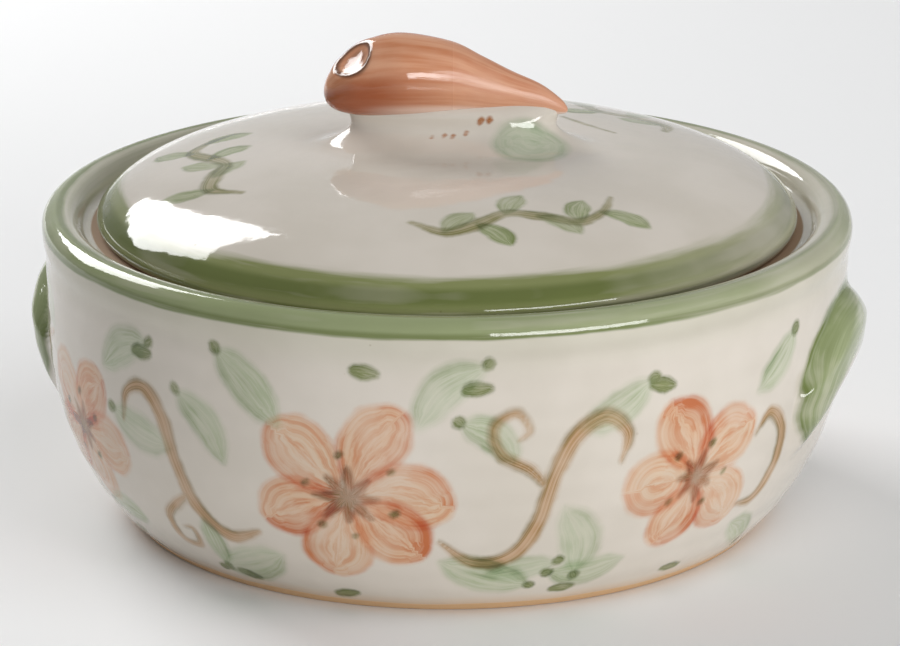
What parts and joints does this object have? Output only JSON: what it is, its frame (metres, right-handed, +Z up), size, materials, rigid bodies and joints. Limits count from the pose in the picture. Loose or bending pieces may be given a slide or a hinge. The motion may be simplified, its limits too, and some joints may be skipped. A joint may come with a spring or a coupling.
{
  "type": "casserole dish",
  "caption": "Round glazed stoneware casserole dish with arched side lugs and a lift-off domed lid with a fruit-shaped knob.",
  "frame": {"origin": "centre of the foot, on the table that the dish stands on", "axes": "+Z up along the pot's turning axis; +X through the middle of one lug, -X through the other; the painted front faces -Y"},
  "size_m": [0.25, 0.24, 0.144],
  "materials": {
    "dish_glaze": "clear gloss glaze over hand-painted stoneware, bare clay on the foot",
    "lid_glaze": "clear gloss glaze over hand-painted stoneware",
    "knob_glaze": "clear gloss glaze over a terracotta wash"
  },
  "bodies": {
    "root": {"dish": "dish_glaze", "lid": "lid_glaze", "knob": "knob_glaze"}
  },
  "joints": []
}
